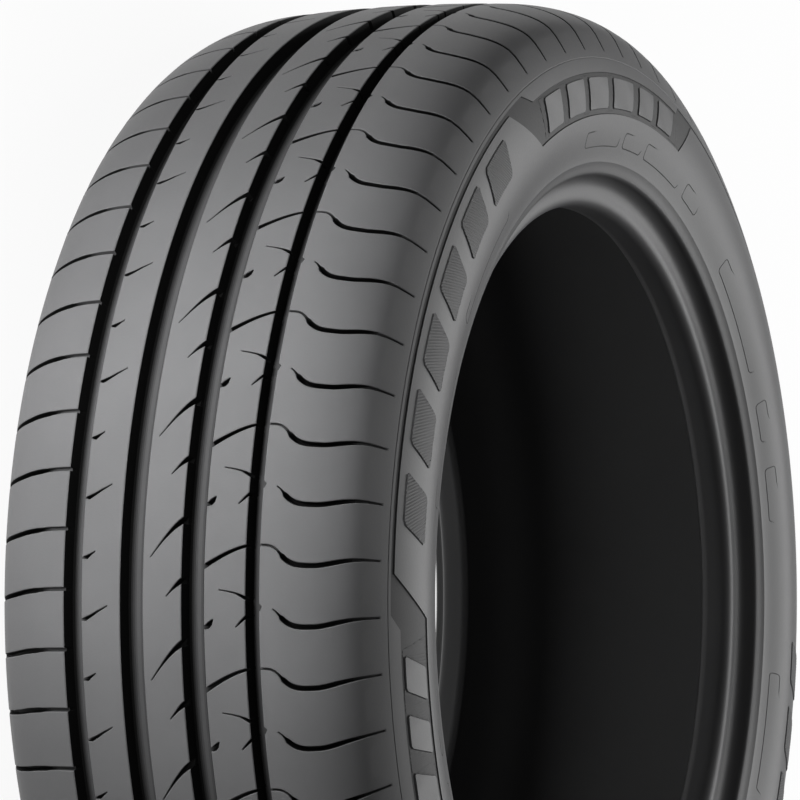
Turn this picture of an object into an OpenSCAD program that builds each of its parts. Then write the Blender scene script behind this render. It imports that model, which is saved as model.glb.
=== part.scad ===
/* [Size] */
// Outside diameter of the tyre
outer_d = 668.3; // [640:0.1:700]
// Width over the sidewalls
section_w = 231; // [224:0.5:240]
// Diameter of the bead seats
seat_d = 436.6; // [430:0.1:442]
// Distance between the outer faces of the beads
bead_spread = 190.5; // [180:0.5:200]
// Radius of the crown across the tread
crown_r = 900; // [500:10:2000]
// Distance from the tread's middle to the start of the shoulder's round
crown_z = 60; // [56:0.5:66]
// Distance from the tread's middle to the shoulder edge
shoulder_z = 101; // [98:0.5:104]
// Drop of the shoulder edge below the crown
shoulder_drop = 19.2; // [15:0.1:24]
// Radius at which the sidewalls are widest
widest_r = 270; // [262:1:278]

/* [Rubber] */
// Thickness from the crown to the inner liner
crown_t = 14.5; // [12:0.1:20]
// Thickness of the sidewall where it is widest
wall_t = 8; // [6:0.1:12]
// Width of a bead at its seat
bead_w = 18.5; // [14:0.5:22]
// Radius of the bead's heel
heel_r = 6.5; // [3:0.1:8]
// Chamfer of the bead's toe
toe_chamfer = 1.5; // [0.5:0.1:3]
// Height of the rim flange that holds a bead, over the seat
flange_h = 17.3; // [15:0.1:20]
// Radius of the rim flange that a bead rests against
flange_r = 9.5; // [7:0.1:10]
// Height of the rib that guards the rim, over the seat
guard_h = 24.2; // [21:0.1:28]
// Distance from the widest point in to the guard rib's edge
guard_in = 7; // [4.5:0.1:9]

/* [Grooves round the tread] */
// Depth of the grooves
groove_depth = 8; // [5:0.1:9]
// Slope of a groove's wall, as the width it takes
groove_taper = 1.8; // [0.5:0.1:2.5]
// Middle of the inner shoulder groove
groove_1_z = -51.9; // [-53:0.1:-50]
// Width of the inner shoulder groove
groove_1_w = 10.7; // [8:0.1:12]
// Middle of the inner centre groove
groove_2_z = -17.7; // [-19:0.1:-16]
// Width of the inner centre groove
groove_2_w = 13; // [10:0.1:14]
// Middle of the outer centre groove
groove_3_z = 16.9; // [16:0.1:18]
// Width of the outer centre groove
groove_3_w = 12.7; // [10:0.1:14]
// Middle of the outer shoulder groove
groove_4_z = 49.5; // [48.5:0.1:50.5]
// Width of the outer shoulder groove
groove_4_w = 7.5; // [6:0.1:9]

/* [Tread pattern] */
// Number of pitches round the tread
pitches = 34; // [30:1:38]
// Angle of the first pitch
first_a = -3.2; // [-10:0.1:10]
// Depth of the shoulder slots
slot_depth = 6.5; // [4:0.1:7]
// Depth of the shoulder slots next to their groove
tie_depth = 3; // [1:0.1:5]
// Width of the shoulder slots
slot_w = 2.1; // [1.5:0.1:3]
// Width of the shoulder slots next to their groove
tie_w = 1.5; // [1:0.1:2]
// Distance from the tread's middle to where the slots turn deep and wide
tie_z = 64; // [62:0.5:67]
// Depth of the cuts in the three middle ribs
cut_depth = 5.5; // [3:0.1:7]
// Distance from the tread's middle to where the shoulder slots end
slot_end_z = 105.5; // [104:0.1:108]

/* [Outer sidewall] */
// Depth of the sunk band and its panels
sunk_depth = 0.6; // [0.3:0.1:1]
// Outer radius of the sunk band
band_r = 298.3; // [296:0.1:301]
// Width of the sunk band
band_w = 2.4; // [1:0.1:3]
// Outer radius of the panels, under the band
panel_r = 292; // [286:0.5:294]
// Height of the panels
panel_h = 23.5; // [18:0.5:26]

/* [Hidden] */
$fn = 4 * pitches;
outer_r = outer_d / 2;
seat_r = seat_d / 2;
half_w = section_w / 2;
bead_z = bead_spread / 2;
pitch_a = 360 / pitches;
clear = 1;
reach = 2.3;
slot_run = 12;
tie_run = 4;
arc_step = 5;
grooves = [
    [groove_1_z, groove_1_w], [groove_2_z, groove_2_w],
    [groove_3_z, groove_3_w], [groove_4_z, groove_4_w]
];

// Radius of the crown at a distance from the tread's middle
function crown(z) = outer_r - crown_r + sqrt(crown_r * crown_r - z * z);

// A cubic curve from p to q with its handles at a and b, without its last point
function curve(p, a, b, q, n) = [
    for (i = [0:n - 1]) let (t = i / n, s = 1 - t)
        s * s * s * p + 3 * s * s * t * a + 3 * s * t * t * b + t * t * t * q
];

// A step of a length along a heading, from the axis's direction towards the axis
function step(heading, length) = length * [-sin(heading), cos(heading)];

function flipped(points) = [for (i = [len(points) - 1:-1:0]) [points[i].x, -points[i].y]];

// A unit vector along a row of points, at one of them
function along(points, i) =
    let (d = points[min(i + 1, len(points) - 1)] - points[max(i - 1, 0)]) d / norm(d);

// The section of one groove, as radius and distance from the tread's middle
function groove_section(z, w) = let (
    floor_r = crown(z) - groove_depth, low = z - w / 2, high = z + w / 2
) [
    [crown(low), low], [floor_r, low + groove_taper],
    [floor_r, high - groove_taper], [crown(high), high]
];

// The same cubic curve with its last point
function way(p, a, b, q, n) = concat(curve(p, a, b, q, n), [q]);

// A ribbon along a path of points [z, u], as wide at each as the widths say
function ribbon(path, widths) = let (
    sides = [for (i = [0:len(path) - 1]) let (d = along(path, i)) widths[i] / 2 * [-d.y, d.x]]
) concat(
    [for (i = [0:len(path) - 1]) path[i] + sides[i]],
    [for (i = [len(path) - 1:-1:0]) path[i] - sides[i]]);

// Widths that fall from one to another along a path, faster at first as the power rises
function tapered(count, from, to, power = 1) = [
    for (i = [0:count - 1]) to + (from - to) * (1 - i / (count - 1)) ^ power
];

// One edge of a groove, on the inner (-1) or the outer (1) side
function edge(i, side) = grooves[i][0] + side * grooves[i][1] / 2;

// The shoulder and sidewall down to the guard rib
shoulder = [outer_r - shoulder_drop, shoulder_z];
widest = [widest_r, half_w];
guard = [seat_r + guard_h, half_w - guard_in];
shoulder_heading = 60;
crown_end = [crown(crown_z), crown_z];
crown_heading = asin(crown_z / crown_r);
shoulder_side = curve(
    crown_end, crown_end + step(crown_heading, 17),
    shoulder - step(shoulder_heading, 12), shoulder, 5);
wall_side = curve(
    shoulder, shoulder + step(shoulder_heading, 16),
    widest - step(90, 15), widest, 6);
guard_side = curve(
    widest, widest + step(90, 12), guard - step(103, 8), guard, 4);

// The bead: against the flange, round the heel and along the seat
flange = [seat_r + flange_h, bead_z + flange_r];
flange_foot = [seat_r + flange_h - flange_r, bead_z];
heel = [seat_r, bead_z - heel_r];
toe = [seat_r + toe_chamfer, bead_z - bead_w];
bead_side = concat(
    curve(guard, guard + step(125, 4), flange - step(125, 3), flange, 2),
    [for (a = [90:-30:0]) flange_foot + flange_r * [sin(a), 1 - cos(a)]],
    [for (a = [0:30:90]) [heel.x + heel_r * (1 - sin(a)), heel.y + heel_r * cos(a)]],
    [[seat_r, toe.y + toe_chamfer]]);

// The liner from the toe to the crown's middle
wall_in = widest - [0, wall_t];
crown_in = [crown(crown_z) - crown_t, crown_z];
liner_side = concat(
    curve(toe, toe + [14, 5], wall_in - [22, 0], wall_in, 4),
    curve(wall_in, wall_in + [24, 0], crown_in + [-2, 31], crown_in, 5),
    [crown_in]);

side = concat(shoulder_side, wall_side, guard_side, bead_side, liner_side);
tread_line = [for (g = grooves, p = groove_section(g[0], g[1])) p];
section = concat(tread_line, side, [[outer_r - crown_t, 0]], flipped(side));

module body() {
    rotate_extrude() polygon(section);
}

// The tread's surface over a shoulder, from under the shoulder groove
shoulder_top = concat([[crown(crown_z / 2), crown_z / 2]], shoulder_side, wall_side);
function top_at(z) = [lookup(z, [for (p = shoulder_top) [p.y, p.x]]), z];

// The region of a shoulder down to the slots' floor, which runs out at their end
function shoulder_layer() = let (
    floors = [
        [crown_z / 2, tie_depth], [tie_z, tie_depth], [tie_z + tie_run, slot_depth],
        [slot_end_z - slot_run, slot_depth], [slot_end_z - 4, tie_depth]
    ],
    tops = [for (f = floors) top_at(f[0])]
) concat(
    [for (i = [0:len(tops) - 1]) let (d = along(tops, i)) tops[i] - floors[i][1] * [d.y, -d.x]],
    [top_at(slot_end_z), top_at(slot_end_z) + [clear, 0],
     [outer_r + clear, slot_end_z], [outer_r + clear, crown_z / 2]]);

// Angle that a distance round the tread takes
function turn(u) = -u / outer_r * 180 / PI;

// A cut straight down to a radius, from its outline in distances from the tread's middle
// and round the tread
module cut(a, outline, floor_r) {
    u = outline[0].y;
    rotate([0, 0, first_a + a + turn(u)]) rotate([90, 0, 90]) translate([0, 0, floor_r])
        linear_extrude(outer_r + clear - floor_r) polygon([for (p = outline) [u - p.y, p.x]]);
}

module rib_cut(a, path, widths) {
    cut(a, ribbon(path, widths), crown(path[0].x) - cut_depth);
}

// The slots' ways from a shoulder groove to past their end, narrow up to the tie's end
outer_way = concat(
    [[edge(3, 1) - reach, -7.5], [edge(3, 1) + 6, -8.8]],
    curve([tie_z, -12], [69, -16.5], [72, -17.9], [78, -17.9], 2),
    way([78, -17.9], [86, -17.9], [97, -14.1], [slot_end_z + reach, -14.1], 2));
inner_way = concat(
    [[edge(0, -1) + reach, 1], [-tie_z, 0.7]],
    way([-tie_z - tie_run, 0.5], [-80, -0.2], [-92, -3], [-slot_end_z - reach, -5.9], 2));
function slot_widths(path) = [for (p = path) abs(p.x) > tie_z + tie_run / 2 ? slot_w : tie_w];

// The slots of the outer shoulder. Every other one starts past the groove.
module outer_slots() {
    late = [for (p = outer_way) if (p.x > edge(3, 1) + 2) p];
    intersection() {
        rotate_extrude() polygon(shoulder_layer());
        for (i = [0:pitches - 1]) {
            cut(i * pitch_a, ribbon(outer_way, slot_widths(outer_way)), widest_r);
            cut((i + 0.5) * pitch_a, ribbon(late, slot_widths(late)), widest_r);
        }
    }
}

module inner_slots() {
    intersection() {
        rotate_extrude() polygon(flipped(shoulder_layer()));
        for (i = [0:2 * pitches - 1])
            cut(i * pitch_a / 2, ribbon(inner_way, slot_widths(inner_way)), widest_r);
    }
}

// The cuts of the three middle ribs in one pitch
module rib_cuts(a) {
    half = a + pitch_a / 2;
    // Stubs from the inner shoulder groove, a long one and a short one
    rib_cut(a, [[edge(0, 1) - reach, 16.1], [edge(0, 1), 16.4], [edge(0, 1) + 9, 20.4],
        [edge(0, 1) + 15, 23.4]], [1.9, 1.9, 1.1, 0.5]);
    rib_cut(half, [[edge(0, 1) - reach, 16.1], [edge(0, 1) + 2, 16.9], [edge(0, 1) + 7.5, 20]],
        [2, 1.9, 0.5]);
    // Curved notches from the outer centre groove, a long one and a short one
    rib_cut(a, concat([[edge(2, -1) + reach, 6]], way([edge(2, -1), 4.5], [edge(2, -1) - 5.5, 1.5],
        [edge(2, -1) - 11.5, -6], [edge(2, -1) - 17.5, -13.8], 2)),
        concat([4], tapered(3, 3.2, 0.4, 1.3)));
    rib_cut(half, concat([[edge(2, -1) + reach, 6.4]],
        way([edge(2, -1), 5], [edge(2, -1) - 2.5, 3.7], [edge(2, -1) - 5.5, 0.4],
        [edge(2, -1) - 8.3, -2.6], 2)), concat([3.6], tapered(3, 2.9, 0.4, 1.3)));
    // A sipe across the outer rib and a wedge half a pitch on
    rib_cut(a, concat([[edge(2, 1) - reach, -20.2]], way([edge(2, 1), -18.6],
        [edge(2, 1) + 7, -14.5], [edge(3, -1) - 8, -10], [edge(3, -1) + reach, -8], 2)),
        tapered(4, 1.8, 1.1));
    cut(half, [[edge(2, 1) - reach, -19.6], [edge(2, 1) - 0.5, -21.1],
        [edge(2, 1) + 3.7, -18.2], [edge(2, 1) + 4.8, -14.4], [edge(2, 1) + 2.5, -15.9]],
        crown(edge(2, 1)) - cut_depth);
    // A notch from the outer shoulder groove
    rib_cut(a, [[edge(3, -1) + reach, -41.8], [edge(3, -1), -44], [edge(3, -1) - 5.3, -48.8]],
        [1.8, 1.5, 0.5]);
}

// Corners along the sunk band over half a turn, as angle and radius: its outer line first
band_out = [
    [-64, band_r], [-41.5, band_r], [-40, panel_r], [-0.5, panel_r], [1, band_r],
    [66, band_r], [67.7, panel_r], [110, panel_r], [111.4, band_r]
];
band_in = [
    [-64, band_r - band_w], [-42, band_r - band_w], [-37.5, panel_r - panel_h],
    [0.5, panel_r - panel_h], [5, band_r - band_w], [61.8, band_r - band_w],
    [66.4, panel_r - panel_h], [110.3, panel_r - panel_h], [115.5, band_r - band_w]
];

// A closed line once round the axis through such corners, with arcs between equal radii
function loop(corners) = [
    for (half = [0, 180], i = [0:len(corners) - 1]) let (
        c = corners[i],
        next = i + 1 < len(corners) ? corners[i + 1] : corners[0] + [180, 0],
        n = c.y == next.y ? ceil((next.x - c.x) / arc_step) : 1
    ) for (k = [0:n - 1]) let (a = -90 - half - c.x - (next.x - c.x) * k / n)
        c.y * [cos(a), sin(a)]
];

module sunk_band() {
    line = concat(wall_side, [for (i = [0:1]) guard_side[i]]);
    intersection() {
        rotate_extrude() polygon(concat(
            [for (i = [0:len(line) - 1]) let (d = along(line, i)) line[i] - sunk_depth * [d.y, -d.x]],
            [[line[len(line) - 1].x, half_w + clear], [line[0].x + clear, half_w + clear]]));
        linear_extrude(half_w + clear) difference() {
            polygon(loop(band_out));
            polygon(loop(band_in));
        }
    }
}

module tyre() {
    color("#48484a") difference() {
        body();
        outer_slots();
        inner_slots();
        sunk_band();
        for (i = [0:pitches - 1]) rib_cuts(i * pitch_a);
    }
}

tyre();
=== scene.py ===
import math

import bpy
import numpy as np
from mathutils import Matrix, Vector
from mathutils.geometry import delaunay_2d_cdt
from mathutils.kdtree import KDTree


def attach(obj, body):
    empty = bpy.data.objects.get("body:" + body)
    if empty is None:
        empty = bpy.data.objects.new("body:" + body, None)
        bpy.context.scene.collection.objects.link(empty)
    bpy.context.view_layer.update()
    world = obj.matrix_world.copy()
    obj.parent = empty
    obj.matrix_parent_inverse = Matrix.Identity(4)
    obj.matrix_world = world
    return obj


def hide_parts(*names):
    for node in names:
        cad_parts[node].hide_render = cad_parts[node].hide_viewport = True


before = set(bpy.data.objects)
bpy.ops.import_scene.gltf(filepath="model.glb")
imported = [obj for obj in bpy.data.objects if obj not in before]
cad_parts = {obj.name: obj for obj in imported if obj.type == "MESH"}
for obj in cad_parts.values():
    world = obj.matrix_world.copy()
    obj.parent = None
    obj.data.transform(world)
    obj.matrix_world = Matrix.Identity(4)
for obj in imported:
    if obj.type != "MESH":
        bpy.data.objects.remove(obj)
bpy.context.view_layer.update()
mm = 0.001

tyre = {
    "outerRadius": 334.15,
    "crownRadius": 900,
    "crownEnd": 60,            # where the shoulder's round starts
    "shoulder": (314.95, 101),
    "shoulderHeading": 60,
    "widest": (270, 115.5),
    "guard": (242.5, 108.5),
    "flange": (235.6, 104.75),
    "flangeRadius": 9.5,
    "beadSeat": 218.3,
    "beadEdge": 95.25,
    "heelRadius": 6.5,
    "beadWidth": 18.5,
    "toeChamfer": 1.5,
    "wallThickness": 8,
    "crownThickness": 14.5,
    "treadEnd": 107.9,         # the ring where the tread piece meets a sidewall
    "pitches": 34,
    "stepsPerPitch": 12,
    "firstAngle": 10.026,      # from the side nearest the camera to the tread tile's low edge
}
pitchAngle = 360 / tyre["pitches"]


def cubic(p, a, b, q, steps):
    t = np.linspace(0, 1, steps, endpoint=False)[:, None]
    s = 1 - t
    return s**3 * np.array(p) + 3 * s**2 * t * np.array(a) + 3 * s * t**2 * np.array(b) + t**3 * np.array(q)


def stepAlong(point, heading, length):
    h = math.radians(heading)
    return (point[0] - math.sin(h) * length, point[1] + math.cos(h) * length)


def crownAt(z):
    return tyre["outerRadius"] - tyre["crownRadius"] + math.sqrt(tyre["crownRadius"]**2 - z * z)


def outerLine():
    # radius and z from the tread's middle over the shoulder and the wall to the guard rib
    end = tyre["crownEnd"]
    crown = [(crownAt(z), z) for z in np.linspace(0, end, 40, endpoint=False)]
    start, tilt = (crownAt(end), end), math.degrees(math.asin(end / tyre["crownRadius"]))
    shoulder, widest, guard, heading = tyre["shoulder"], tyre["widest"], tyre["guard"], tyre["shoulderHeading"]
    return np.vstack([
        crown,
        cubic(start, stepAlong(start, tilt, 17), stepAlong(shoulder, heading, -12), shoulder, 60),
        cubic(shoulder, stepAlong(shoulder, heading, 16), stepAlong(widest, 90, -15), widest, 60),
        cubic(widest, stepAlong(widest, 90, 12), stepAlong(guard, 103, -8), guard, 40),
        [guard],
    ])


def beadLine():
    # from the guard rib's edge against the flange, round the heel and along the seat to the toe
    guard, flange, seat = tyre["guard"], tyre["flange"], tyre["beadSeat"]
    foot = (flange[0] - tyre["flangeRadius"], tyre["beadEdge"])
    heel = (seat, tyre["beadEdge"] - tyre["heelRadius"])
    toeZ = tyre["beadEdge"] - tyre["beadWidth"]
    turns = np.radians(np.linspace(0, 90, 9))
    return np.vstack([
        cubic(guard, stepAlong(guard, 125, 4), stepAlong(flange, 125, -3), flange, 5),
        [(foot[0] + tyre["flangeRadius"] * math.cos(a), foot[1] + tyre["flangeRadius"] * (1 - math.sin(a)))
         for a in turns],
        [(heel[0] + tyre["heelRadius"] * (1 - math.sin(a)), heel[1] + tyre["heelRadius"] * math.cos(a))
         for a in turns],
        [(seat, z) for z in np.linspace(heel[1], toeZ + tyre["toeChamfer"], 4)[1:]],
    ])


def linerLine():
    # inside, from the toe to the crown's middle
    toe = (tyre["beadSeat"] + tyre["toeChamfer"], tyre["beadEdge"] - tyre["beadWidth"])
    wallIn = (tyre["widest"][0], tyre["widest"][1] - tyre["wallThickness"])
    crownIn = (crownAt(tyre["crownEnd"]) - tyre["crownThickness"], tyre["crownEnd"])
    middle = (tyre["outerRadius"] - tyre["crownThickness"], 0)
    return np.vstack([
        cubic(toe, (toe[0] + 14, toe[1] + 5), (wallIn[0] - 22, wallIn[1]), wallIn, 14),
        cubic(wallIn, (wallIn[0] + 24, wallIn[1]), (crownIn[0] - 2, crownIn[1] + 31), crownIn, 18),
        [crownIn, ((crownIn[0] + middle[0]) / 2, crownIn[1] / 2), middle],
    ])


class Skin:
    # a section line as a surface, by the length along it
    def __init__(self, line):
        keep = np.r_[True, np.hypot(*np.diff(line, axis=0).T) > 1e-6]
        self.line = line[keep]
        self.length = np.r_[0, np.cumsum(np.hypot(*np.diff(self.line, axis=0).T))]
        tangent = np.gradient(self.line, self.length, axis=0)
        tangent /= np.hypot(*tangent.T)[:, None]
        self.normal = np.c_[tangent[:, 1], -tangent[:, 0]]

    def at(self, length):
        return np.array([np.interp(length, self.length, c) for c in (*self.line.T, *self.normal.T)])

    def lengthAt(self, z):
        rising = np.argmax(self.line[:, 1]) + 1
        return np.interp(np.abs(z), self.line[:rising, 1], self.length[:rising])

    def lengthAtRadius(self, radius):
        return np.interp(-np.asarray(radius, float), -self.line[:, 0], self.length)


skin = Skin(outerLine())
ringLength = float(skin.lengthAt(tyre["treadEnd"]))
wallEnd = float(skin.length[-1])


# Relief is drawn on a flat tile: x runs along the section and y round the tyre.

def grow(path, halfWidths):
    # both sides of a path as one closed outline
    way = np.gradient(path, axis=0)
    way /= np.hypot(*way.T)[:, None]
    side = np.c_[-way[:, 1], way[:, 0]] * np.asarray(halfWidths)[:, None]
    return np.vstack([path + side, (path - side)[::-1]])


def lengthened(path, first, last):
    out = path.copy()
    start, end = path[1] - path[0], path[-1] - path[-2]
    out[0] -= start / np.hypot(*start) * max(first, -0.4 * np.hypot(*start))
    out[-1] += end / np.hypot(*end) * max(last, -0.4 * np.hypot(*end))
    return out


def divided(points, closed, most):
    # a line with no step longer than that
    out = []
    ends = len(points) if closed else len(points) - 1
    for i in range(ends):
        a, b = points[i], points[(i + 1) % len(points)]
        steps = max(1, math.ceil(math.dist(a, b) / most))
        out += [a + (b - a) * k / steps for k in range(steps)]
    if not closed:
        out.append(points[-1])
    return np.array(out)


def nearestOn(points, line, closed):
    # gap to a line, the index with its fraction there, and how far past an end
    starts = line if closed else line[:-1]
    ends = np.roll(line, -1, axis=0) if closed else line[1:]
    best, where, past = np.full(len(points), 1e9), np.zeros(len(points)), np.zeros(len(points))
    for i, (a, b) in enumerate(zip(starts, ends)):
        d = b - a
        size = np.hypot(*d)
        t = (points - a) @ d / size**2
        held = np.clip(t, 0, 1)
        gap = np.hypot(*(points - a - held[:, None] * d).T)
        nearer = gap < best - 1e-9
        best = np.where(nearer, gap, best)
        where = np.where(nearer, i + held, where)
        past = np.where(nearer, np.maximum(-t, t - 1).clip(0) * size, past)
    return best, where, past


def inside(points, outline):
    hit = np.zeros(len(points), bool)
    for a, b in zip(outline, np.roll(outline, -1, axis=0)):
        if a[1] == b[1]:
            continue
        crosses = (a[1] > points[:, 1]) != (b[1] > points[:, 1])
        hit ^= crosses & (points[:, 0] < a[0] + (points[:, 1] - a[1]) / (b[1] - a[1]) * (b[0] - a[0]))
    return hit


class Cut:
    # a slot, sipe or notch along a path; a lip breaks its edge and its walls slope; painted shade darkens its
    # inside, less where it is shallow
    def __init__(self, path, widths, depths, lip=0.35, slope=0.25, openStart=True, openEnd=False,
                 tone=1.0, shallowPaintedShade=0.75):
        self.path = np.array(path, float)
        self.half = np.broadcast_to(np.array(widths, float) / 2, len(path)).copy()
        self.depth = np.broadcast_to(np.array(depths, float), len(path)).copy()
        self.lip, self.slope, self.tone, self.shallowPaintedShade = lip, slope, tone, shallowPaintedShade
        self.openStart, self.openEnd = openStart, openEnd
        self.steps = np.r_[0, np.cumsum(np.hypot(*np.diff(self.path, axis=0).T))]

    def loops(self):
        for out in ((self.lip, 0, -self.slope) if self.lip else (0, -self.slope)):
            half = np.maximum(self.half + out, 0.06)
            yield grow(lengthened(self.path, 0 if self.openStart else out, 0 if self.openEnd else out), half)

    def measured(self, points):
        # which points are near, how far inside the cut's edge they are, and the depth there
        reach = self.half.max() + self.lip + 0.5
        near = np.all((points > self.path.min(0) - reach) & (points < self.path.max(0) + reach), axis=1)
        gap, where, past = nearestOn(points[near], self.path, False)
        index = np.arange(len(self.path))
        half, depth = np.interp(where, index, self.half), np.interp(where, index, self.depth)
        along = np.interp(where, index, self.steps)
        margin = half - np.sqrt(np.maximum(gap**2 - past**2, 0))
        atStart, atEnd = where < 1e-6, where > len(self.path) - 1 - 1e-6
        for isOpen, atThis, rest in ((self.openStart, atStart, along),
                                     (self.openEnd, atEnd, self.steps[-1] - along)):
            if isOpen:
                margin = np.where(atThis & (past > 1e-3), -9, margin)
            else:
                margin = np.minimum(margin, np.where(atThis, -past, rest))
        return near, margin, depth

    def depthAt(self, points):
        near, margin, depth = self.measured(points)
        rimDepth = np.minimum(self.lip * 0.8, depth)
        rim = np.clip((margin + self.lip) / max(self.lip, 1e-6), 0, 1) * rimDepth
        wall = rimDepth + np.clip(margin / self.slope, 0, 1) * (depth - rimDepth)
        out = np.zeros(len(points))
        out[near] = np.where(margin > 1e-9, wall, rim)
        return out

    def paintedShadeAt(self, points):
        # shallow parts get less painted shade
        near, margin, depth = self.measured(points)
        out = np.zeros(len(points))
        out[near] = (margin > 0) * self.tone * np.interp(depth, (2.4, 4), (self.shallowPaintedShade, 1))
        return out


class Groove:
    # a groove right round the tyre; painted shade darkens its walls, and its floor from dark at the foot to
    # lighter in the middle
    def __init__(self, middle, width, depth, lip=0.45, slope=1.2, foot=1.0, footRise=0.9, tone=1.0,
                 floorPaintedShades=(0.92, 0.8, 0.65, 0.5)):
        half = width / 2
        self.middle, self.tone, self.floorPaintedShades = middle, tone, floorPaintedShades
        self.gaps = np.array([0, half - slope - foot, half - slope, half, half + lip])
        self.depths = np.array([depth, depth, depth - footRise, 0.8 * lip, 0])
        self.floorHalf, self.half = half - slope - foot, half

    def floorGaps(self):
        return self.floorHalf * (1 - np.arange(len(self.floorPaintedShades)) / len(self.floorPaintedShades))

    def lines(self):
        return [self.middle + side * g for g in (*self.floorGaps()[1:], *self.gaps[1:]) for side in (-1, 1)]

    def depthAt(self, points):
        return np.interp(np.abs(points[:, 0] - self.middle), self.gaps, self.depths, right=0)


class Patch:
    # a raised or sunk area with sloped sides, fine ribs where wanted, and painted shade where given
    def __init__(self, outline, rise, slope=0.4, ribs=None, holes=(), tone=0.0):
        self.outline = np.array(outline, float)
        x, y = self.outline.T
        if np.sum(x * np.roll(y, -1) - y * np.roll(x, -1)) < 0:
            self.outline = self.outline[::-1]
        self.rise, self.slope, self.ribs, self.tone = rise, slope, ribs, tone
        self.inner = self.moved(slope)
        self.holes = [hole.moved(-0.4) for hole in holes]

    def moved(self, by):
        before = self.outline - np.roll(self.outline, 1, axis=0)
        after = np.roll(self.outline, -1, axis=0) - self.outline
        n1 = np.c_[-before[:, 1], before[:, 0]] / np.hypot(*before.T)[:, None]
        n2 = np.c_[-after[:, 1], after[:, 0]] / np.hypot(*after.T)[:, None]
        way = n1 + n2
        return self.outline + way * (by / np.sum(way * n1, axis=1))[:, None]

    def loops(self):
        return [self.outline, self.inner] if self.rise else [self.inner]

    def shareAt(self, points):
        # 0 outside and 1 past the sloped side
        out = np.zeros(len(points))
        near = np.all((points > self.outline.min(0) - 0.01) & (points < self.outline.max(0) + 0.01), axis=1)
        if near.any():
            gap, _, _ = nearestOn(points[near], self.outline, True)
            out[near] = np.clip(gap / self.slope, 0, 1) * inside(points[near], self.outline)
        return out

    def ribLines(self):
        # every other line is a rib's ridge, the ones between lie in the valleys
        step, lean = self.ribs["step"], self.ribs["lean"]
        borders = [np.c_[b[:, 0], b[:, 1] + lean * b[:, 0]] for b in (self.inner, *self.holes)]
        low, high = borders[0][:, 1].min(), borders[0][:, 1].max()
        for k in range(math.ceil(low / step), math.floor(high / step) + 1):
            level = k * step + 1e-5
            xs = sorted(
                a[0] + (level - a[1]) / (b[1] - a[1]) * (b[0] - a[0])
                for border in borders for a, b in zip(border, np.roll(border, -1, axis=0))
                if (a[1] > level) != (b[1] > level))
            for x1, x2 in zip(xs[::2], xs[1::2]):
                if x2 - x1 > 1.2:
                    x1, x2 = x1 + 0.2, x2 - 0.2
                    yield k % 2, np.array([(x1, level - lean * x1), (x2, level - lean * x2)])


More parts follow.
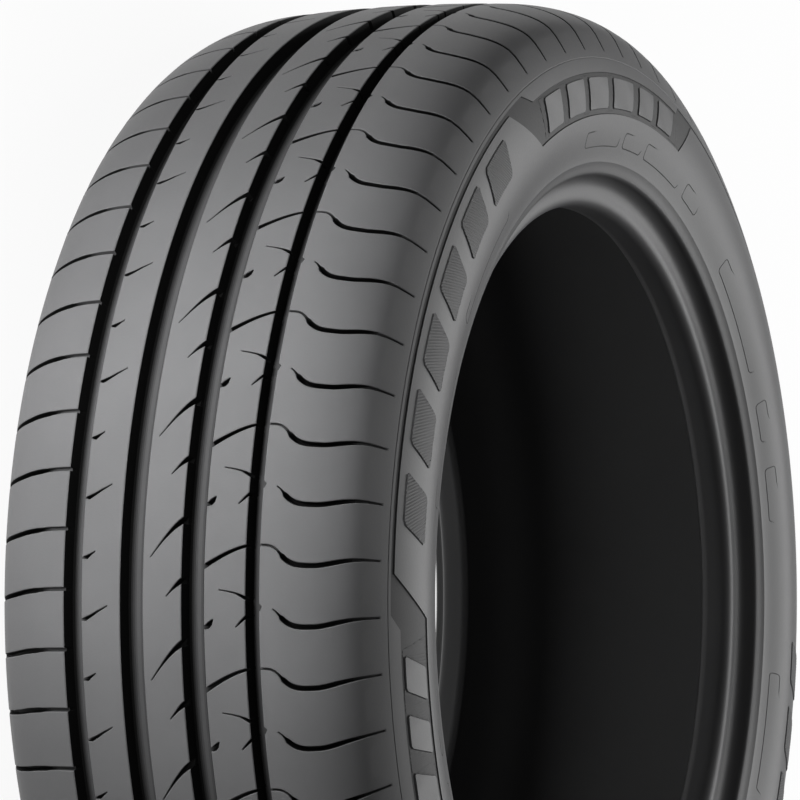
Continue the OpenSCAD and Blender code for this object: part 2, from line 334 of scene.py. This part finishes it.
class Tile:
    def __init__(self, xs, low, high, steps, most=4.5):
        self.xs, self.low, self.high, self.steps, self.most = np.array(xs), low, high, steps, most
        self.points, self.edges, self.ridges = [], [], []
        self.cuts, self.grooves, self.patches = [], [], []

    def line(self, points, closed=False):
        points = divided(points, closed, self.most)
        first, count = len(self.points), len(points)
        self.points += [tuple(p) for p in points]
        self.edges += [(first + i, first + (i + 1) % count) for i in range(count if closed else count - 1)]
        return points

    def across(self, x):
        ys = np.linspace(self.low, self.high, self.steps + 1)
        self.points += [(x, y) for y in ys]
        first = len(self.points) - len(ys)
        self.edges += [(first + i, first + i + 1) for i in range(len(ys) - 1)]

    def add(self, *features):
        for feature in features:
            if isinstance(feature, Groove):
                self.grooves.append(feature)
                for x in feature.lines():
                    self.across(x)
                continue
            (self.cuts if isinstance(feature, Cut) else self.patches).append(feature)
            for loop in feature.loops():
                self.line(loop, closed=True)
            if isinstance(feature, Patch) and feature.ribs:
                for isRidge, ends in feature.ribLines():
                    points = self.line(ends)
                    if isRidge:
                        self.ridges += [(p, feature.ribs["height"]) for p in points]

    def triangles(self):
        ys = np.linspace(self.low, self.high, self.steps + 1)
        loose = np.array([(x, y) for x in self.xs[1:-1] for y in ys[1:-1]])
        for x in (self.xs[0], self.xs[-1]):
            self.across(x)
        for y in (self.low, self.high):
            self.points += [(x, y) for x in self.xs]
            first = len(self.points) - len(self.xs)
            self.edges += [(first + i, first + i + 1) for i in range(len(self.xs) - 1)]
        tree = KDTree(len(self.points))
        for i, p in enumerate(self.points):
            tree.insert((*p, 0), i)
        tree.balance()
        clear = 0.35 * min(self.most, (self.high - self.low) / self.steps)
        keep = np.array([tree.find((*p, 0))[2] > clear for p in loose])
        for patch in self.patches:
            if patch.ribs:
                keep &= ~inside(loose, patch.outline)
        points = [Vector(p) for p in self.points] + [Vector(p) for p in loose[keep]]
        flat, _, faces, _, _, _ = delaunay_2d_cdt(points, self.edges, [], 0, 1e-5, False)
        flat, faces = np.array([tuple(p) for p in flat]), np.array([tuple(f) for f in faces])
        middle = flat[faces].mean(axis=1)
        kept = (middle[:, 1] > self.low) & (middle[:, 1] < self.high)
        kept &= (middle[:, 0] > self.xs[0]) & (middle[:, 0] < self.xs[-1])
        faces, middle = faces[kept], middle[kept]
        a, b, c = (flat[faces[:, i]] for i in range(3))
        turned = (b - a)[:, 0] * (c - a)[:, 1] - (b - a)[:, 1] * (c - a)[:, 0] < 0
        faces[turned] = faces[turned][:, ::-1]
        used, faces = np.unique(faces, return_inverse=True)
        return flat[used], faces.reshape(-1, 3), middle

    def heights(self, flat):
        depth = np.zeros(len(flat))
        for feature in self.grooves + self.cuts:
            depth = np.maximum(depth, feature.depthAt(flat))
        height = -depth
        for patch in self.patches:
            height += patch.rise * patch.shareAt(flat)
        if self.ridges:
            tree = KDTree(len(flat))
            for i, p in enumerate(flat):
                tree.insert((*p, 0), i)
            tree.balance()
            for p, rise in self.ridges:
                _, i, gap = tree.find((*p, 0))
                if gap < 1e-3:
                    height[i] += rise
        return height

    def paintedShades(self, middle):
        # how much painted shade each face gets: 0 on the open surface, 1 in a cut
        tone = np.zeros(len(middle))
        for patch in self.patches:
            tone = np.where(patch.shareAt(middle) > 0.02, patch.tone, tone)
        for groove in self.grooves:
            gap = np.abs(middle[:, 0] - groove.middle)
            tone = np.where(gap < groove.half, groove.tone, tone)
            for limit, floorPaintedShade in zip(groove.floorGaps(), groove.floorPaintedShades):
                tone = np.where(gap < limit, floorPaintedShade, tone)
        for cut in self.cuts:
            tone = np.maximum(tone, cut.paintedShadeAt(middle))
        return tone


def meshFrom(name, positions, faces, normals, plain, paintedShades):
    mesh = bpy.data.meshes.new(name)
    mesh.from_pydata((positions * mm).tolist(), [], faces.tolist())
    for key, values in (("wayOut", normals[0]), ("wayAlong", normals[1]), ("plain", plain.astype(float))):
        data = mesh.attributes.new(key, "FLOAT", "POINT").data
        data.foreach_set("value", np.ascontiguousarray(values, dtype=np.float32))
    # each face's painted shade, stored as a face attribute
    mesh.attributes.new("tone", "FLOAT", "FACE").data.foreach_set("value", paintedShades.astype(np.float32))
    made = bpy.data.objects.new(name, mesh)
    bpy.context.scene.collection.objects.link(made)
    return made


def placed(flat, height, toLength, side, toAngle):
    # from the flat tile to the tyre, with the smooth surface's own directions
    r, z, outR, outZ = skin.at(toLength(flat[:, 0]))
    side = np.broadcast_to(side, len(flat))
    angle = np.radians(toAngle(flat[:, 1]))
    radius = r + height * outR
    positions = np.c_[-radius * np.sin(angle), -radius * np.cos(angle), side * (z + height * outZ)]
    return positions, (outR, side * outZ)


def repeatTree():
    # copies of a tile round the axis, welded into one ring
    tree = bpy.data.node_groups.new("repeatRound", "GeometryNodeTree")
    sockets = tree.interface
    sockets.new_socket("Geometry", in_out="INPUT", socket_type="NodeSocketGeometry")
    inputs = {
        "count": sockets.new_socket("Copies round the tyre", in_out="INPUT", socket_type="NodeSocketInt"),
        "weld": sockets.new_socket("Weld distance", in_out="INPUT", socket_type="NodeSocketFloat"),
        "material": sockets.new_socket("Rubber", in_out="INPUT", socket_type="NodeSocketMaterial"),
    }
    sockets.new_socket("Geometry", in_out="OUTPUT", socket_type="NodeSocketGeometry")
    add = tree.nodes.new
    given, out = add("NodeGroupInput"), add("NodeGroupOutput")
    points, index, turn = add("GeometryNodePoints"), add("GeometryNodeInputIndex"), add("ShaderNodeMath")
    share, turns = add("ShaderNodeMath"), add("ShaderNodeCombineXYZ")
    rotation = add("FunctionNodeEulerToRotation")
    copies, real = add("GeometryNodeInstanceOnPoints"), add("GeometryNodeRealizeInstances")
    weld, finish = add("GeometryNodeMergeByDistance"), add("GeometryNodeSetMaterial")
    share.operation, turn.operation = "DIVIDE", "MULTIPLY"
    turn.inputs[1].default_value = 2 * math.pi
    link = tree.links.new
    link(given.outputs["Copies round the tyre"], points.inputs["Count"])
    link(index.outputs[0], share.inputs[0])
    link(given.outputs["Copies round the tyre"], share.inputs[1])
    link(share.outputs[0], turn.inputs[0])
    link(turn.outputs[0], turns.inputs["Z"])
    link(turns.outputs[0], rotation.inputs[0])
    link(points.outputs[0], copies.inputs["Points"])
    link(given.outputs["Geometry"], copies.inputs["Instance"])
    link(rotation.outputs[0], copies.inputs["Rotation"])
    link(copies.outputs[0], real.inputs[0])
    link(real.outputs[0], weld.inputs["Geometry"])
    link(given.outputs["Weld distance"], weld.inputs["Distance"])
    link(weld.outputs[0], finish.inputs["Geometry"])
    link(given.outputs["Rubber"], finish.inputs["Material"])
    link(finish.outputs[0], out.inputs[0])
    return tree, inputs


ringTree, ringInputs = repeatTree()
seam = {
    "weld": 0.004,
    "sharpAngle": 28,
}


def ringFrom(tile, count, material):
    # runs the tree on a tile and keeps the plain mesh; its open surface gets the smooth line's normals
    modifier = tile.modifiers.new("repeatRound", "NODES")
    modifier.node_group = ringTree
    modifier[ringInputs["count"].identifier] = count
    modifier[ringInputs["weld"].identifier] = seam["weld"] * mm
    modifier[ringInputs["material"].identifier] = material
    graph = bpy.context.evaluated_depsgraph_get()
    mesh = bpy.data.meshes.new_from_object(tile.evaluated_get(graph), preserve_all_data_layers=True,
                                           depsgraph=graph)
    name = tile.name
    bpy.data.objects.remove(tile)
    mesh.name = name
    ring = bpy.data.objects.new(name, mesh)
    bpy.context.scene.collection.objects.link(ring)
    mesh.shade_smooth()
    mesh.set_sharp_from_angle(angle=math.radians(seam["sharpAngle"]))
    count = len(mesh.vertices)
    at = np.empty(count * 3, np.float32)
    mesh.vertices.foreach_get("co", at)
    at = at.reshape(-1, 3)
    values = {}
    for key in ("wayOut", "wayAlong", "plain"):
        values[key] = np.empty(count, np.float32)
        mesh.attributes[key].data.foreach_get("value", values[key])
    out = at[:, :2] / np.hypot(*at[:, :2].T)[:, None]
    normals = np.c_[out * values["wayOut"][:, None], values["wayAlong"]]
    corners = np.empty(len(mesh.loops), np.int32)
    mesh.loops.foreach_get("vertex_index", corners)
    triangles = corners.reshape(-1, 3)
    smooth = np.repeat(values["plain"][triangles].min(axis=1) > 0.5, 3)
    mesh.normals_split_custom_set(np.where(smooth[:, None], normals[corners], 0).tolist())
    for key in values:
        mesh.attributes.remove(mesh.attributes[key])
    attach(ring, "root")
    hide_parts("tyre")
    print(ring.name, "has", len(mesh.polygons), "faces")


rubber = {
    "open": (0.086, 0.086, 0.088),
    # cut is near-black painted shade for the walls and floors of grooves and cuts and for the sidewall's
    # panels and blocks; open is the rubber's own colour
    "cut": (0.003, 0.003, 0.003),
    "roughness": 0.4,
    "cutRoughness": 0.65,
    "specular": 0.32,
    "broadScale": 14,
    "grainScale": 900,
    "unevenColour": 0.07,
    "unevenRoughness": 0.12,
    "bumpStrength": 0.25,
    "bumpDepth": 0.15,
}


def rubberMaterial(name):
    material = bpy.data.materials.new(name)
    material.use_nodes = True
    nodes, link = material.node_tree.nodes, material.node_tree.links.new
    shader = nodes["Principled BSDF"]
    shader.inputs["Specular IOR Level"].default_value = rubber["specular"]
    where, tone = nodes.new("ShaderNodeTexCoord"), nodes.new("ShaderNodeAttribute")
    tone.attribute_name = "tone"
    broad, grain = nodes.new("ShaderNodeTexNoise"), nodes.new("ShaderNodeTexNoise")
    broad.inputs["Scale"].default_value, broad.inputs["Detail"].default_value = rubber["broadScale"], 4
    grain.inputs["Scale"].default_value, grain.inputs["Detail"].default_value = rubber["grainScale"], 3
    link(where.outputs["Object"], broad.inputs["Vector"])
    link(where.outputs["Object"], grain.inputs["Vector"])
    colour, varied = nodes.new("ShaderNodeMix"), nodes.new("ShaderNodeMix")
    colour.data_type = varied.data_type = "RGBA"
    varied.blend_type = "MULTIPLY"
    colour.inputs["A"].default_value = (*rubber["open"], 1)
    colour.inputs["B"].default_value = (*rubber["cut"], 1)
    spread = nodes.new("ShaderNodeMapRange")
    spread.inputs["From Min"].default_value, spread.inputs["From Max"].default_value = 0.3, 0.7
    spread.inputs["To Min"].default_value = 1 - rubber["unevenColour"]
    spread.inputs["To Max"].default_value = 1 + rubber["unevenColour"]
    link(broad.outputs["Fac"], spread.inputs["Value"])
    # the face attribute mixes painted shade into the rubber's colour and makes it rougher there
    link(tone.outputs["Fac"], colour.inputs["Factor"])
    link(colour.outputs["Result"], varied.inputs["A"])
    link(spread.outputs["Result"], varied.inputs["B"])
    varied.inputs["Factor"].default_value = 1
    link(varied.outputs["Result"], shader.inputs["Base Color"])
    rough, uneven = nodes.new("ShaderNodeMapRange"), nodes.new("ShaderNodeMath")
    rough.inputs["To Min"].default_value = rubber["roughness"]
    rough.inputs["To Max"].default_value = rubber["cutRoughness"]
    uneven.operation = "MULTIPLY_ADD"
    uneven.inputs[1].default_value = rubber["unevenRoughness"]
    link(tone.outputs["Fac"], rough.inputs["Value"])
    link(grain.outputs["Fac"], uneven.inputs[0])
    link(rough.outputs["Result"], uneven.inputs[2])
    link(uneven.outputs[0], shader.inputs["Roughness"])
    bump = nodes.new("ShaderNodeBump")
    bump.inputs["Strength"].default_value = rubber["bumpStrength"]
    bump.inputs["Distance"].default_value = rubber["bumpDepth"] * mm
    link(grain.outputs["Fac"], bump.inputs["Height"])
    link(bump.outputs["Normal"], shader.inputs["Normal"])
    return material


tyreRubber = rubberMaterial("tyreRubber")


tread = {
    "lowEdge": -52.9,                   # the tile's low edge, clear of every cut
    "pitch": 61.75,
    "groovePlaces": ((-51.85, 10.7), (-17.7, 13.0), (16.85, 12.7), (49.45, 7.5)),
    "grooveDepth": 8,
    "cutDepth": 5.5,
    "slotDepth": 6.5,
    "tieDepth": 2.5,
    "endZ": tyre["treadEnd"],
}


def bend(p, a, b, q, steps):
    return [tuple(x) for x in np.vstack([cubic(p, a, b, q, steps), [q]])]


def widthsAlong(count, start, end, power=1.0):
    return [end + (start - end) * (1 - i / (count - 1))**power for i in range(count)]


def shifted(path, by):
    return [(z, u + by) for z, u in path]


def treadCuts():
    half, deep, slot, tie = tread["pitch"] / 2, tread["cutDepth"], tread["slotDepth"], tread["tieDepth"]
    cuts = []
    # inner shoulder: two slots a pitch, narrow and shallow near their groove
    path = [(-55.6, 1.0), (-57.2, 1.0), (-62, 0.95), (-67, 0.85), (-72, 0.5), (-74.5, 0.25), (-78, -0.1),
            (-82, -0.6), (-87, -1.6), (-92, -2.5), (-97, -3.4), (-102, -4.5), (-104.6, -5.2), (-106.3, -5.7)]
    widths = [2.0, 2.0, 2.0, 2.0, 2.1, 2.6, 2.6, 2.6, 2.6, 2.5, 2.4, 2.1, 1.6, 0.8]
    depths = [tie, tie, tie, tie, tie + 1, slot - 1, slot, slot, slot, slot, slot, slot - 1, 3, 1]
    for move in (0, -half):
        cuts.append(Cut(shifted(path, move), widths, depths, shallowPaintedShade=0.55))
    # inner centre rib: a long and a short stub
    stub = [(-48.2, 16.2), (-46.5, 16.4), (-44.4, 16.7), (-40.8, 18.4), (-37, 20.6), (-31.5, 23.4)]
    cuts.append(Cut(shifted(stub, -tread["pitch"]), [0.8, 0.9, 1.9, 1.4, 1.0, 0.5],
                    [deep, deep, deep, 5, 3.5, 1.2]))
    cuts.append(Cut([(-48.2, -14.2), (-46.5, -14.1), (-44, -13.8), (-41.5, -12.3), (-39, -10.8)],
                    [0.8, 0.9, 2.0, 1.1, 0.5], [deep, deep, deep, 4, 1.2]))
    # middle rib: a long and a short notch that sweep out of the outer centre groove
    cuts.append(Cut([(12.2, 5.6)] + bend((10.5, 4.5), (5, 1.5), (-1, -6), (-7, -13.8), 9),
                    [3.6] + widthsAlong(10, 3.2, 0.4, 1.5),
                    [deep, deep, deep, 5, 4.6, 4.2, 3.6, 3, 2.4, 1.8, 1]))
    cuts.append(Cut([(12.2, -25)] + bend((10.5, -25.9), (8, -27.2), (5, -30.5), (2.2, -33.5), 5),
                    [3.3] + widthsAlong(6, 2.9, 0.4, 1.3), [deep, deep, 5, 4.2, 3.2, 2.2, 1]))
    # outer centre rib: a sipe right across, a wedge, a fine sipe and a notch
    path = [(21.6, -19.7)] + bend((23.2, -18.6), (30, -14.5), (38, -10), (45.7, -8.3), 9) + [(47.4, -8.1)]
    cuts.append(Cut(path, [2.5] + widthsAlong(10, 2.4, 1.5) + [1.5], deep, openEnd=True))
    cuts.append(Cut([(21.6, -49.0), (23.6, -49.0), (25.2, -48.3), (26.6, -47.0), (28.0, -45.0)],
                    [1.2, 1.9, 2.6, 2.3, 0.6], [deep, deep, deep, deep, 3.5]))
    cuts.append(Cut([(47.2, -34.9), (45.7, -34.2), (43, -32.9), (40.5, -31.9), (37, -31.1), (31.5, -30.2)],
                    [1.9, 1.9, 1.4, 0.8, 0.7, 0.5], [deep, deep, 5, 3, 2.5, 1.5]))
    cuts.append(Cut([(47.2, -42.6), (45.7, -44), (43, -46.4), (40.5, -48.8)],
                    [1.7, 1.5, 1.1, 0.5], [deep, deep, 4, 1.5]))
    # a nick in the outer shoulder groove's far edge
    cuts.append(Cut([(52.0, -38.7), (53.2, -38.7), (54.6, -38.4)], [4.6, 4.0, 0.5], [tie, tie, 1.5]))
    # outer shoulder: wavy slots, the first of each pair starts at the groove
    way = ([(51.6, -7.8), (53.2, -7.8)] + bend((56, -7.8), (59.5, -7.8), (62, -9.4), (64, -12), 4)
           + bend((65.2, -13.4), (68.2, -16.6), (71.5, -17.9), (77, -17.9), 6)
           + bend((81, -17.9), (87, -17.9), (95, -14.1), (104.5, -14.1), 9) + [(106.3, -14.1)])
    widths = np.interp([p[0] for p in way],
                       [50, 63.8, 65, 90, 98, 104, 107], [1.2, 1.2, 2.7, 2.5, 1.9, 1.2, 0.8])
    depths = np.interp([p[0] for p in way], [50, 63, 66, 92, 99, 106.3], [tie, tie, slot, slot, 2.4, 1])
    cuts.append(Cut(way, widths, depths, shallowPaintedShade=0.6))
    late = [i for i, p in enumerate(way) if p[0] > 59.6]
    lead = np.interp([way[i][0] for i in late],
                     [60, 63.8, 65, 90, 98, 104, 107], [0.5, 0.9, 2.7, 2.5, 1.9, 1.2, 0.8])
    cuts.append(Cut(shifted([way[i] for i in late], -half), lead, depths[late], openStart=False))
    return cuts


def makeTread():
    zs = np.r_[-tread["endZ"], -106, -104, -101.5, -98.5, -95, -91, -87, -83, -79, -75, -71, -67, -62.5, -58.5,
               np.arange(-42, 43, 5.25),
               58.5, 62.5, 67, 71, 75, 79, 83, 87, 91, 95, 98.5, 101.5, 104, 106, tread["endZ"]]
    low = tread["lowEdge"]
    tile = Tile(zs, low, low + tread["pitch"], tyre["stepsPerPitch"])
    *broad, narrow = tread["groovePlaces"]
    tile.add(*[Groove(z, w, tread["grooveDepth"]) for z, w in broad],
             Groove(*narrow, tread["grooveDepth"], slope=0.7, foot=0.5, floorPaintedShades=(0.7, 0.6)), *treadCuts())
    flat, faces, middle = tile.triangles()
    height = tile.heights(flat)
    toAngle = lambda u: tyre["firstAngle"] + (u - low) / tread["pitch"] * pitchAngle
    positions, ways = placed(flat, height, skin.lengthAt, np.where(flat[:, 0] < 0, -1, 1), toAngle)
    made = meshFrom("tread", positions, faces, ways, height > -1e-6, tile.paintedShades(middle))
    ringFrom(made, tyre["pitches"], tyreRubber)


makeTread()


def edgeRing(side):
    # the fine ring just past the tread, with painted shade in it
    return Groove(side * (ringLength + 1.4), 0.8, 0.2, lip=0, slope=0.25, foot=0.1, footRise=0.02,
                  tone=0.2, floorPaintedShades=(0.2,))


wall = {
    "scale": 290,                      # radius that angles on the flat tile are drawn at
    # seven pitches below the tread tile's edge
    "lowAngle": tyre["firstAngle"] - 84 * pitchAngle / tyre["stepsPerPitch"],
    "bandRadius": 298.3,
    "bandWidth": 2.4,
    "panelRadius": 292,
    "panelHeight": 23.5,
    "sunk": 0.6,
    # painted shade on the sunk band and the panels, and on the hatched blocks, standing in for the shade in
    # their recesses and fine ribs
    "panelPaintedShade": 0.62,
    "blockPaintedShade": 0.35,
    # angles of each panel's sides, and of the raised blocks in it
    "panels": (
        (-36.3, -2.4, ((-34, -29), (-27, -23), (-21, -16.5), (-14, -10.5), (-8.2, -4.6))),
        (69, 108.8, ((68.8, 73.4), (75.2, 80.2), (81.6, 87.2), (88.8, 94.8), (96.6, 101), (102.6, 107.2))),
        (249, 288.8, ((248.8, 253.4), (255.2, 260.2), (261.6, 267.2), (268.8, 274.8), (276.6, 281),
                      (282.6, 287.2))),
    ),
    "darkBlocks": ((8.0, 13.4), (16.2, 22.2), (24.8, 30.8), (33.4, 39.4), (42.0, 48.2), (50.6, 56.8)),
    # radii of a block's sides, its lean in degrees and how far its corners are cut off
    "lightShape": (289.5, 271.5, 1.6, 1.2),
    "darkShape": (291.5, 273, 1.9, 2.0),
    "lightRise": 0.15,
    "darkRise": 0.45,
    "panelRibs": {"step": 0.9, "lean": 0, "height": 0.2},
    "blockRibs": {"step": 0.9, "lean": -0.55, "height": 0.22},
    "plateLineWidth": 0.6,
    "plateLineDepth": 0.25,
    # painted shade in the fine plate lines
    "plateLinePaintedShade": 0.6,
    # plates under the panels: angles of their ends, radii of their sides
    "plates": ((81, 92, 259.5, 251), (93.5, 99.6, 259.5, 251), (101, 113, 259.5, 250.5),
               (115.3, 120.5, 259.5, 250.5), (-48, -29.8, 259, 249.5), (-24.9, -19.3, 259, 249.5),
               (-15.4, -7.9, 259, 249.5), (13, 30, 259, 249.5), (36, 54, 262, 255)),
}


def wallX(radius):
    return float(skin.lengthAtRadius(radius))


def onWall(corners):
    # corners as angle and radius to the flat tile
    return [(wallX(r), math.radians(a) * wall["scale"]) for a, r in corners]


def slanted(low, high, outer, inner, lean, nib=0.0):
    # a slanted block between two angles and two radii, with its acute corners cut off
    shape = np.array([(wallX(outer), math.radians(low + lean) * wall["scale"]),
                      (wallX(outer), math.radians(high + lean) * wall["scale"]),
                      (wallX(inner), math.radians(high) * wall["scale"]),
                      (wallX(inner), math.radians(low) * wall["scale"])])
    if not nib:
        return shape
    out = []
    for i, p in enumerate(shape):
        for other in (shape[i - 1], shape[(i + 1) % 4]):
            out.append(p + (other - p) / math.dist(p, other) * nib)
    return np.array(out)


def plateLine(low, high, outer, inner, corner=2.5):
    # a fine line that runs round one end of a plate and along its inner side
    x1, x2 = wallX(outer), wallX(inner)
    y1, y2 = (math.radians(a) * wall["scale"] for a in (low, high))
    points = [(x1, y1 + min(0.6 * (y2 - y1), 12))]
    for cx, cy, start in ((x1 + corner, y1 + corner, 180), (x2 - corner, y1 + corner, 270),
                          (x2 - corner, y2 - corner, 0)):
        turns = [math.radians(start + a) for a in (0, 30, 60, 90)]
        points += [(cx + corner * math.cos(t), cy + corner * math.sin(t)) for t in turns]
    return points


def makeOuterWall():
    band, width = wall["bandRadius"], wall["bandWidth"]
    top, foot = wall["panelRadius"], wall["panelRadius"] - wall["panelHeight"]
    outerSide = [(-70, band), (-41.5, band), (-40, top), (-0.5, top), (1, band)]
    innerSide = [(-70, band - width), (-42, band - width), (-37.5, foot), (0.5, foot), (5, band - width)]
    for turn in (0, 180):
        outerSide += [(66 + turn, band), (67.7 + turn, top), (110 + turn, top), (111.4 + turn, band)]
        innerSide += [(61.8 + turn, band - width), (66.4 + turn, foot), (110.3 + turn, foot),
                      (115.5 + turn, band - width)]
    outerSide.append((302, band))
    innerSide.append((302, band - width))
    sunkBand = Patch(onWall(outerSide + innerSide[::-1]), -wall["sunk"], tone=wall["panelPaintedShade"])
    panels, lightBlocks, darkBlocks, lines = [], [], [], []
    for low, high, blocks in wall["panels"]:
        inPanel = [Patch(slanted(a, b, *wall["lightShape"]), wall["sunk"] + wall["lightRise"])
                   for a, b in blocks]
        sides = [(low, top - 1), (high, top - 1), (high + 1.2, foot + 1.2), (low - 1.2, foot + 1.2)]
        panels.append(Patch(onWall(sides), 0, ribs=wall["panelRibs"], holes=inPanel, tone=wall["panelPaintedShade"]))
        lightBlocks += inPanel
    for turn in (0, 180):
        darkBlocks += [Patch(slanted(a + turn, b + turn, *wall["darkShape"]), wall["darkRise"],
                             ribs=wall["blockRibs"], tone=wall["blockPaintedShade"]) for a, b in wall["darkBlocks"]]
        lines += [Cut(plateLine(a + turn, b + turn, r1, r2), wall["plateLineWidth"], wall["plateLineDepth"],
                      lip=0, openEnd=True, tone=wall["plateLinePaintedShade"], shallowPaintedShade=1)
                  for a, b, r1, r2 in wall["plates"]]
    xs = np.r_[ringLength, np.linspace(ringLength, wallEnd, 21)[1:-1], wallEnd]
    low = math.radians(wall["lowAngle"]) * wall["scale"]
    tile = Tile(xs, low, low + 2 * math.pi * wall["scale"], tyre["pitches"] * tyre["stepsPerPitch"])
    tile.add(edgeRing(1), sunkBand, *panels, *lightBlocks, *darkBlocks, *lines)
    flat, faces, middle = tile.triangles()
    height = tile.heights(flat)
    positions, ways = placed(flat, height, lambda x: x, 1, lambda y: np.degrees(y / wall["scale"]))
    made = meshFrom("outerWall", positions, faces, ways, np.abs(height) < 1e-6, tile.paintedShades(middle))
    ringFrom(made, 1, tyreRubber)


makeOuterWall()


plainSide = {
    "rows": 21,
    "drawnAt": 5,                      # millimetres a degree on the flat tile
    "ringRadius": 297,
    "ringWidth": 2.4,
    "ringDepth": 0.6,
    # painted shade in the inner wall's ring
    "ringPaintedShade": 0.5,
}


def makeInnerWall():
    # the inner sidewall has rings alone
    xs = np.linspace(-wallEnd, -ringLength, plainSide["rows"])
    low, drawnAt = tyre["firstAngle"] - pitchAngle, plainSide["drawnAt"]
    tile = Tile(xs, 0, pitchAngle * drawnAt, tyre["stepsPerPitch"], most=6)
    tile.add(edgeRing(-1),
             Groove(-wallX(plainSide["ringRadius"]), plainSide["ringWidth"], plainSide["ringDepth"], lip=0.1,
                    slope=0.4, foot=0.2, footRise=0.05, tone=plainSide["ringPaintedShade"],
                    floorPaintedShades=(plainSide["ringPaintedShade"],)))
    flat, faces, middle = tile.triangles()
    height = tile.heights(flat)
    positions, ways = placed(flat, height, lambda x: -x, -1, lambda y: low + y / drawnAt)
    made = meshFrom("innerWall", positions, faces, ways, np.abs(height) < 1e-6, tile.paintedShades(middle))
    ringFrom(made, tyre["pitches"], tyreRubber)


makeInnerWall()


def makeInside():
    # both beads and the liner as one strip, from the outer guard rib to the inner one
    half = np.vstack([beadLine(), linerLine()])
    line = np.vstack([half, (half * (1, -1))[::-1][1:]])
    inner = Skin(line)
    steps = tyre["stepsPerPitch"]
    rows, columns = len(inner.line), steps + 1
    angles = np.radians(tyre["firstAngle"] + np.arange(columns) * pitchAngle / steps)
    r, z = (np.repeat(v, columns) for v in inner.line.T)
    angle = np.tile(angles, rows)
    positions = np.c_[-r * np.sin(angle), -r * np.cos(angle), z]
    ways = [np.repeat(v, columns) for v in inner.normal.T]
    faces = []
    for i in range(rows - 1):
        for k in range(columns - 1):
            a, b, c, d = i * columns + k, (i + 1) * columns + k, (i + 1) * columns + k + 1, i * columns + k + 1
            faces += [(a, b, c), (a, c, d)]
    made = meshFrom("beadsAndLiner", positions, np.array(faces), ways, np.ones(len(r)), np.zeros(len(faces)))
    ringFrom(made, tyre["pitches"], tyreRubber)


makeInside()


plane = {
    "half": 40,                        # metres
    "height": -0.1155,
    "colour": 0.86,
    "roughness": 0.8,
    "glow": 1,
    "glowShare": 0.93,                 # what the camera and mirrored rays see of the glow
}


def makeFloor():
    mesh = bpy.data.meshes.new("floor")
    size, z = plane["half"], plane["height"]
    corners = [(-size, -size, z), (size, -size, z), (size, size, z), (-size, size, z)]
    mesh.from_pydata(corners, [], [(0, 1, 2, 3)])
    floor = bpy.data.objects.new("floor", mesh)
    bpy.context.scene.collection.objects.link(floor)
    material = bpy.data.materials.new("paleFloor")
    material.use_nodes = True
    nodes, link = material.node_tree.nodes, material.node_tree.links.new
    plain, out = nodes["Principled BSDF"], nodes["Material Output"]
    plain.inputs["Base Color"].default_value = (*[plane["colour"]] * 3, 1)
    plain.inputs["Roughness"].default_value = plane["roughness"]
    glow, ray = nodes.new("ShaderNodeEmission"), nodes.new("ShaderNodeLightPath")
    mix = nodes.new("ShaderNodeMixShader")
    glow.inputs["Strength"].default_value = plane["glow"]
    seen, clear, share = nodes.new("ShaderNodeMath"), nodes.new("ShaderNodeMath"), nodes.new("ShaderNodeMath")
    seen.operation, clear.operation, share.operation = "MAXIMUM", "MAXIMUM", "MULTIPLY"
    share.inputs[1].default_value = plane["glowShare"]
    link(ray.outputs["Is Camera Ray"], seen.inputs[0])
    link(ray.outputs["Is Glossy Ray"], seen.inputs[1])
    link(seen.outputs[0], clear.inputs[0])
    link(ray.outputs["Is Transmission Ray"], clear.inputs[1])
    link(clear.outputs[0], share.inputs[0])
    link(share.outputs[0], mix.inputs[0])
    link(plain.outputs[0], mix.inputs[1])
    link(glow.outputs[0], mix.inputs[2])
    link(mix.outputs[0], out.inputs["Surface"])
    mesh.materials.append(material)


makeFloor()


studio = {
    "camera": (-0.112159, -2.369011, 1.064664),
    "aim": (-0.112159, -0.007664, -0.016734),
    "right": (0.017188, 0.416311, 0.909060),
    "lens": 206.617,
    "sky": 0.11,
    "lamps": (
        # name, place, aim, width, height, power, seen in the rubber
        ("frontSoftbox", (-0.248, -0.633, -0.056), (0, 0, -0.056), 0.3, 0.1, 3.6, False),
        ("backSoftbox", (-0.15, 1.75, 2.15), (-0.15, 0, 1.35), 2.4, 2.3, 80, True),
    ),
}


def makeStudio():
    scene = bpy.context.scene
    camera = bpy.data.objects.new("camera", bpy.data.cameras.new("camera"))
    camera.data.lens, camera.data.sensor_width = studio["lens"], 36
    place, right = Vector(studio["camera"]), Vector(studio["right"])
    back = (place - Vector(studio["aim"])).normalized()
    right = (right - back * right.dot(back)).normalized()
    turn = Matrix((right, back.cross(right), back)).transposed().to_4x4()
    camera.matrix_world = Matrix.Translation(place) @ turn
    scene.collection.objects.link(camera)
    scene.camera = camera
    for name, where, aim, width, height, power, mirrored in studio["lamps"]:
        light = bpy.data.lights.new(name, "AREA")
        light.shape, light.size, light.size_y, light.energy = "RECTANGLE", width, height, power
        lamp = bpy.data.objects.new(name, light)
        lamp.location = where
        lamp.rotation_euler = (Vector(aim) - Vector(where)).to_track_quat("-Z", "Y").to_euler()
        lamp.visible_camera, lamp.visible_glossy = False, mirrored
        scene.collection.objects.link(lamp)
    world = bpy.data.worlds.new("sky")
    world.use_nodes = True
    world.node_tree.nodes["Background"].inputs["Color"].default_value = (1, 1, 1, 1)
    world.node_tree.nodes["Background"].inputs["Strength"].default_value = studio["sky"]
    scene.world = world
    scene.view_settings.view_transform = "Standard"


makeStudio()
print("studio ready")
